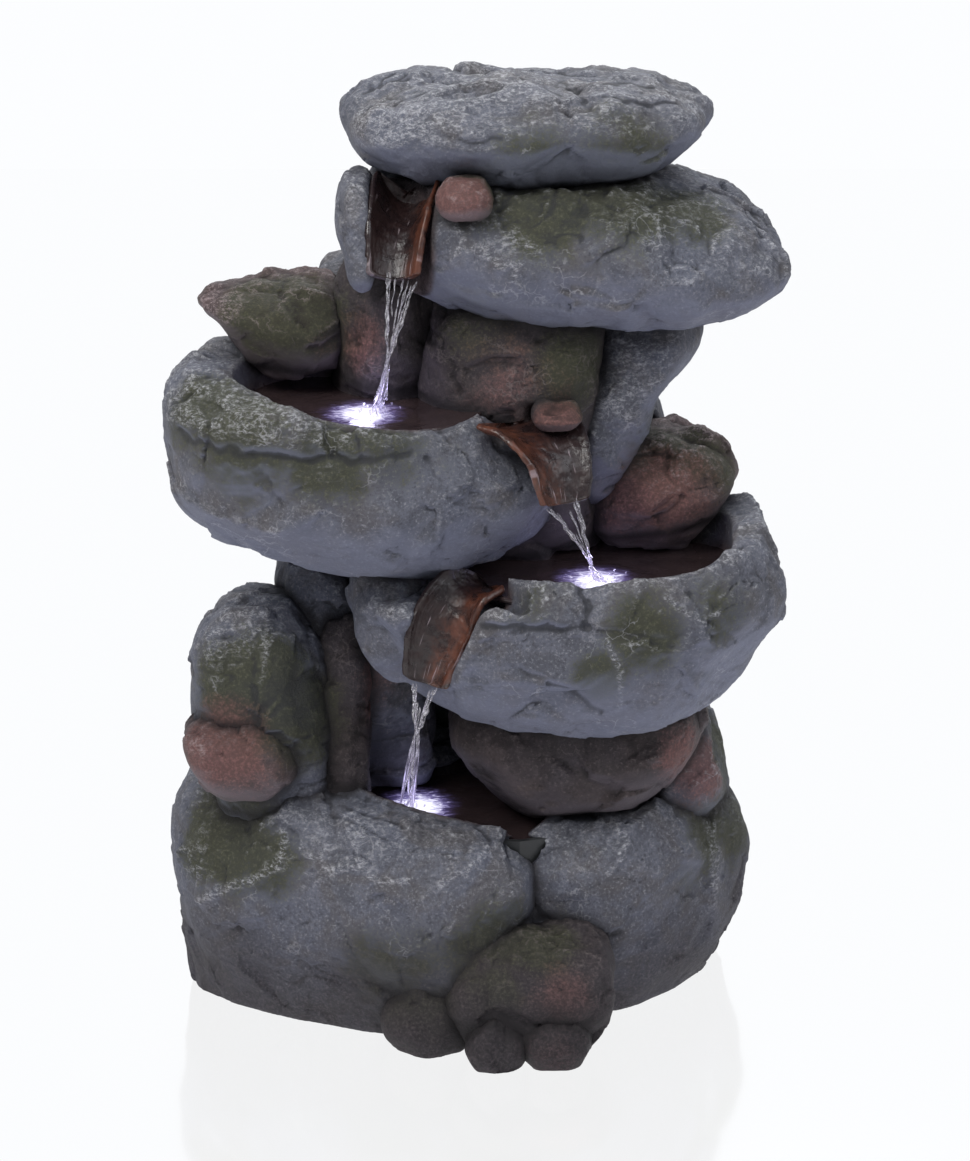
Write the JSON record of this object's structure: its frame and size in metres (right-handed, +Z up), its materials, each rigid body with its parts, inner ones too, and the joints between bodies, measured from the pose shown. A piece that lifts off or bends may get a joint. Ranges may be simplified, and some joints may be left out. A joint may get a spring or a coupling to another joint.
{
  "type": "tiered water fountain",
  "caption": "Free-standing rock-look cascade fountain: water falls from a top spout through two offset basins into a lit base pool, with a rear access door to the pump.",
  "frame": {"origin": "on the ground, at the middle of the bounding box", "axes": "+Z up, -Y towards the front that the basins and spouts face, +X to the right as seen from the front"},
  "size_m": [0.53, 0.4125, 0.811],
  "materials": {
    "grey_stone": "cast resin with a rock texture, painted blue-grey with dark crevices and moss-green patches",
    "brown_stone": "cast resin with a rock texture, painted dark brown",
    "red_stone": "cast resin with a rock texture, painted rust red over grey",
    "copper_channel": "cast resin painted copper brown, wet",
    "tub_resin": "plain dark resin",
    "black_plastic": "moulded",
    "grey_plastic": "moulded",
    "clear_vinyl": "clear flexible tube",
    "black_rubber": "matt",
    "light_lens": "milky, lit from below in cool white",
    "steel": "plain"
  },
  "bodies": {
    "fountain": {"cap_stone": "grey_stone", "upper_stone": "grey_stone", "spout_cheek_stone": "grey_stone", "spout_pebble": "red_stone", "column_centre_stone": "brown_stone", "column_left_stone": "brown_stone", "column_right_stone": "grey_stone", "column_seat_pebble": "red_stone", "left_spur_stone": "grey_stone", "left_back_pebble": "grey_stone", "left_basin": "grey_stone", "right_basin": "grey_stone", "right_spur_stone": "red_stone", "lower_column_stone": "brown_stone", "lower_side_stone": "grey_stone", "standing_grey_stone": "grey_stone", "standing_dark_stone": "brown_stone", "pool_side_stone": "brown_stone", "red_stone": "red_stone", "left_boulder": "grey_stone", "right_boulder": "grey_stone", "round_front_stone": "brown_stone", "toe_stone_left": "brown_stone", "toe_stone_middle": "brown_stone", "toe_stone_right": "brown_stone", "rear_base_left": "grey_stone", "rear_base_right": "grey_stone", "rear_shell": "grey_stone", "base_tub": "tub_resin", "top_channel": "copper_channel", "left_channel": "copper_channel", "right_channel": "copper_channel", "riser_hose": "clear_vinyl", "spout_nozzle": "black_plastic", "lower_hose_clamp": "steel", "upper_hose_clamp": "steel", "pump_body": "black_plastic", "suction_cup_1": "black_rubber", "suction_cup_2": "black_rubber", "suction_cup_3": "black_rubber", "suction_cup_4": "black_rubber", "left_light_housing": "black_plastic", "left_light_lens": "light_lens", "left_light_lead": "black_rubber", "right_light_housing": "black_plastic", "right_light_lens": "light_lens", "right_light_lead": "black_rubber", "base_light_housing": "black_plastic", "base_light_lens": "light_lens", "base_light_lead": "black_rubber", "light_junction_box": "black_plastic", "cable_grommet": "black_rubber"},
    "door": {"access_door": "grey_stone"},
    "pump_cover": {"pump_intake_cover": "black_plastic"},
    "dial": {"flow_dial": "grey_plastic"},
    "rotor": {"impeller": "grey_plastic"}
  },
  "joints": [
    {"name": "door_lift_off", "type": "slide", "parent": "fountain", "child": "door", "axis": [0, 1, 0], "range_m": [0, 0.12]},
    {"name": "cover_pull_off", "type": "slide", "parent": "fountain", "child": "pump_cover", "axis": [-1, 0, 0], "range_m": [0, 0.03]},
    {"name": "dial_turn", "type": "hinge", "parent": "pump_cover", "child": "dial", "pos_m": [0.0165, 0.1006, 0.048], "axis": [-1, 0, 0], "range_deg": [0, 90]},
    {"name": "impeller_spin", "type": "hinge", "parent": "fountain", "child": "rotor", "pos_m": [0.0505, 0.1006, 0.037], "axis": [1, 0, 0], "continuous": true}
  ]
}
